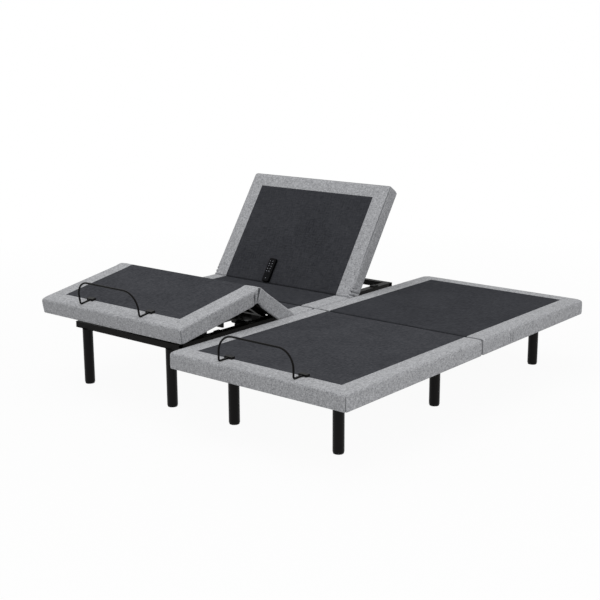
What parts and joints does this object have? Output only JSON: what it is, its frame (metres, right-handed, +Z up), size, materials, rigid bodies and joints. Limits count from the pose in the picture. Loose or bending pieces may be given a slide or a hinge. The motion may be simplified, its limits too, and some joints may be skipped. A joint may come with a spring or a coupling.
{
  "type": "adjustable bed base",
  "caption": "Split pair of upholstered adjustable bed bases on round legs, with motor-raised head, thigh and foot panels, mattress retainer bars and a push-button remote.",
  "frame": {"origin": "on the floor, under the middle of the pair", "axes": "+Y from the foot end to the head end, +X from the raised base to the flat one, +Z up"},
  "size_m": [1.935, 2.02, 0.8832],
  "materials": {
    "border_fabric": "grey heather woven upholstery",
    "deck_cloth": "charcoal non-slip deck cloth",
    "deck_board": "plain board with glued edge strips",
    "frame_steel": "black powder-coated square tube",
    "leg_steel": "glossy black enamelled tube",
    "glide_plastic": "moulded black glide",
    "pin_steel": "turned steel pin",
    "bumper_rubber": "moulded rubber block",
    "drive_tube_steel": "dark coated drive tube",
    "drive_plastic": "moulded motor and gearbox case",
    "rod_steel": "bright push rod",
    "bar_steel": "satin black bent rod",
    "clip_plastic": "black saddle clip",
    "remote_plastic": "fine-grained black case",
    "key_rubber": "soft moulded key"
  },
  "bodies": {
    "root": {"legs": "leg_steel", "leg_feet": "glide_plastic", "cross_beams": "frame_steel", "side_rails": "frame_steel", "hinge_pins": "pin_steel", "deck_bumpers": "bumper_rubber", "drive_tubes": "drive_tube_steel", "drive_motors": "drive_plastic", "control_boxes": "drive_plastic", "seat_decks": "deck_board", "seat_pads": "border_fabric", "seat_cloths": "deck_cloth"},
    "left_head": {"left_head_deck": "deck_board", "left_head_pad": "border_fabric", "left_head_cloth": "deck_cloth", "left_head_subframe": "frame_steel"},
    "left_thigh": {"left_thigh_deck": "deck_board", "left_thigh_pad": "border_fabric", "left_thigh_cloth": "deck_cloth", "left_thigh_subframe": "frame_steel", "left_knee_pins": "pin_steel"},
    "left_foot": {"left_foot_deck": "deck_board", "left_foot_pad": "border_fabric", "left_foot_cloth": "deck_cloth", "left_foot_subframe": "frame_steel", "left_retainer_bar": "bar_steel", "left_retainer_clips": "clip_plastic"},
    "left_foot_arm_body": {"left_foot_arm": "frame_steel"},
    "left_head_rod": {"left_head_push_rod": "rod_steel"},
    "left_leg_rod": {"left_leg_push_rod": "rod_steel"},
    "right_head": {"right_head_deck": "deck_board", "right_head_pad": "border_fabric", "right_head_cloth": "deck_cloth", "right_head_subframe": "frame_steel"},
    "right_thigh": {"right_thigh_deck": "deck_board", "right_thigh_pad": "border_fabric", "right_thigh_cloth": "deck_cloth", "right_thigh_subframe": "frame_steel", "right_knee_pins": "pin_steel"},
    "right_foot": {"right_foot_deck": "deck_board", "right_foot_pad": "border_fabric", "right_foot_cloth": "deck_cloth", "right_foot_subframe": "frame_steel", "right_retainer_bar": "bar_steel", "right_retainer_clips": "clip_plastic"},
    "right_foot_arm_body": {"right_foot_arm": "frame_steel"},
    "right_head_rod": {"right_head_push_rod": "rod_steel"},
    "right_leg_rod": {"right_leg_push_rod": "rod_steel"},
    "remote": {"remote_front_case": "remote_plastic", "remote_back_case": "remote_plastic"},
    "key_1": {"remote_key_1": "key_rubber"},
    "key_2": {"remote_key_2": "key_rubber"},
    "key_3": {"remote_key_3": "key_rubber"},
    "key_4": {"remote_key_4": "key_rubber"},
    "key_5": {"remote_key_5": "key_rubber"},
    "key_6": {"remote_key_6": "key_rubber"},
    "key_7": {"remote_key_7": "key_rubber"},
    "key_8": {"remote_key_8": "key_rubber"},
    "key_9": {"remote_key_9": "key_rubber"},
    "key_10": {"remote_key_10": "key_rubber"}
  },
  "joints": [
    {"name": "left_head_tilt", "type": "hinge", "parent": "root", "child": "left_head", "pos_m": [-0.485, 0.325, 0.292], "axis": [1, 0, 0], "range_deg": [-56, 4]},
    {"name": "left_thigh_tilt", "type": "hinge", "parent": "root", "child": "left_thigh", "pos_m": [-0.485, -0.158, 0.292], "axis": [-1, 0, 0], "range_deg": [-35, 3]},
    {"name": "left_knee_fold", "type": "hinge", "parent": "left_thigh", "child": "left_foot", "pos_m": [-0.485, -0.4012, 0.49647], "axis": [1, 0, 0], "range_deg": [-45, 3.86]},
    {"name": "left_foot_arm_swing", "type": "hinge", "parent": "root", "child": "left_foot_arm_body", "pos_m": [-0.485, -0.52, 0.266], "axis": [-1, 0, 0], "range_deg": [-40.15, 3.44]},
    {"name": "left_head_drive", "type": "slide", "parent": "root", "child": "left_head_rod", "axis": [0, 1, 0], "range_m": [-0.11208, 0.00801]},
    {"name": "left_leg_drive", "type": "slide", "parent": "root", "child": "left_leg_rod", "axis": [0, -1, 0], "range_m": [-0.06597, 0.00566]},
    {"name": "right_head_tilt", "type": "hinge", "parent": "root", "child": "right_head", "pos_m": [0.485, 0.325, 0.292], "axis": [1, 0, 0], "range_deg": [0, 60]},
    {"name": "right_thigh_tilt", "type": "hinge", "parent": "root", "child": "right_thigh", "pos_m": [0.485, -0.158, 0.292], "axis": [-1, 0, 0], "range_deg": [0, 38]},
    {"name": "right_knee_fold", "type": "hinge", "parent": "right_thigh", "child": "right_foot", "pos_m": [0.485, -0.4745, 0.32], "axis": [1, 0, 0], "range_deg": [0, 48.86]},
    {"name": "right_foot_arm_swing", "type": "hinge", "parent": "root", "child": "right_foot_arm_body", "pos_m": [0.485, -0.52, 0.266], "axis": [-1, 0, 0], "range_deg": [0, 43.59]},
    {"name": "right_head_drive", "type": "slide", "parent": "root", "child": "right_head_rod", "axis": [0, 1, 0], "range_m": [0, 0.12009]},
    {"name": "right_leg_drive", "type": "slide", "parent": "root", "child": "right_leg_rod", "axis": [0, -1, 0], "range_m": [0, 0.07162]},
    {"name": "remote_lift", "type": "slide", "parent": "left_head", "child": "remote", "axis": [0, -0.829, 0.5592], "range_m": [0, 0.3]},
    {"name": "key_1_press", "type": "slide", "parent": "remote", "child": "key_1", "axis": [0, 0.829, -0.5592], "range_m": [0, 0.0008], "stiffness_N_per_m": 800},
    {"name": "key_2_press", "type": "slide", "parent": "remote", "child": "key_2", "axis": [0, 0.829, -0.5592], "range_m": [0, 0.0008], "stiffness_N_per_m": 800},
    {"name": "key_3_press", "type": "slide", "parent": "remote", "child": "key_3", "axis": [0, 0.829, -0.5592], "range_m": [0, 0.0008], "stiffness_N_per_m": 800},
    {"name": "key_4_press", "type": "slide", "parent": "remote", "child": "key_4", "axis": [0, 0.829, -0.5592], "range_m": [0, 0.0008], "stiffness_N_per_m": 800},
    {"name": "key_5_press", "type": "slide", "parent": "remote", "child": "key_5", "axis": [0, 0.829, -0.5592], "range_m": [0, 0.0008], "stiffness_N_per_m": 800},
    {"name": "key_6_press", "type": "slide", "parent": "remote", "child": "key_6", "axis": [0, 0.829, -0.5592], "range_m": [0, 0.0008], "stiffness_N_per_m": 800},
    {"name": "key_7_press", "type": "slide", "parent": "remote", "child": "key_7", "axis": [0, 0.829, -0.5592], "range_m": [0, 0.0008], "stiffness_N_per_m": 800},
    {"name": "key_8_press", "type": "slide", "parent": "remote", "child": "key_8", "axis": [0, 0.829, -0.5592], "range_m": [0, 0.0008], "stiffness_N_per_m": 800},
    {"name": "key_9_press", "type": "slide", "parent": "remote", "child": "key_9", "axis": [0, 0.829, -0.5592], "range_m": [0, 0.0008], "stiffness_N_per_m": 800},
    {"name": "key_10_press", "type": "slide", "parent": "remote", "child": "key_10", "axis": [0, 0.829, -0.5592], "range_m": [0, 0.0008], "stiffness_N_per_m": 800}
  ],
  "couplings": [
    {"joint": "left_knee_fold", "follows": "left_thigh_tilt", "ratio": 1.2857},
    {"joint": "left_foot_arm_swing", "follows": "left_thigh_tilt", "ratio": 1.147},
    {"joint": "left_head_drive", "follows": "left_head_tilt", "m_per_rad": 0.11468},
    {"joint": "left_leg_drive", "follows": "left_thigh_tilt", "m_per_rad": 0.10799},
    {"joint": "right_knee_fold", "follows": "right_thigh_tilt", "ratio": 1.2857},
    {"joint": "right_foot_arm_swing", "follows": "right_thigh_tilt", "ratio": 1.147},
    {"joint": "right_head_drive", "follows": "right_head_tilt", "m_per_rad": 0.11468},
    {"joint": "right_leg_drive", "follows": "right_thigh_tilt", "m_per_rad": 0.10799}
  ]
}
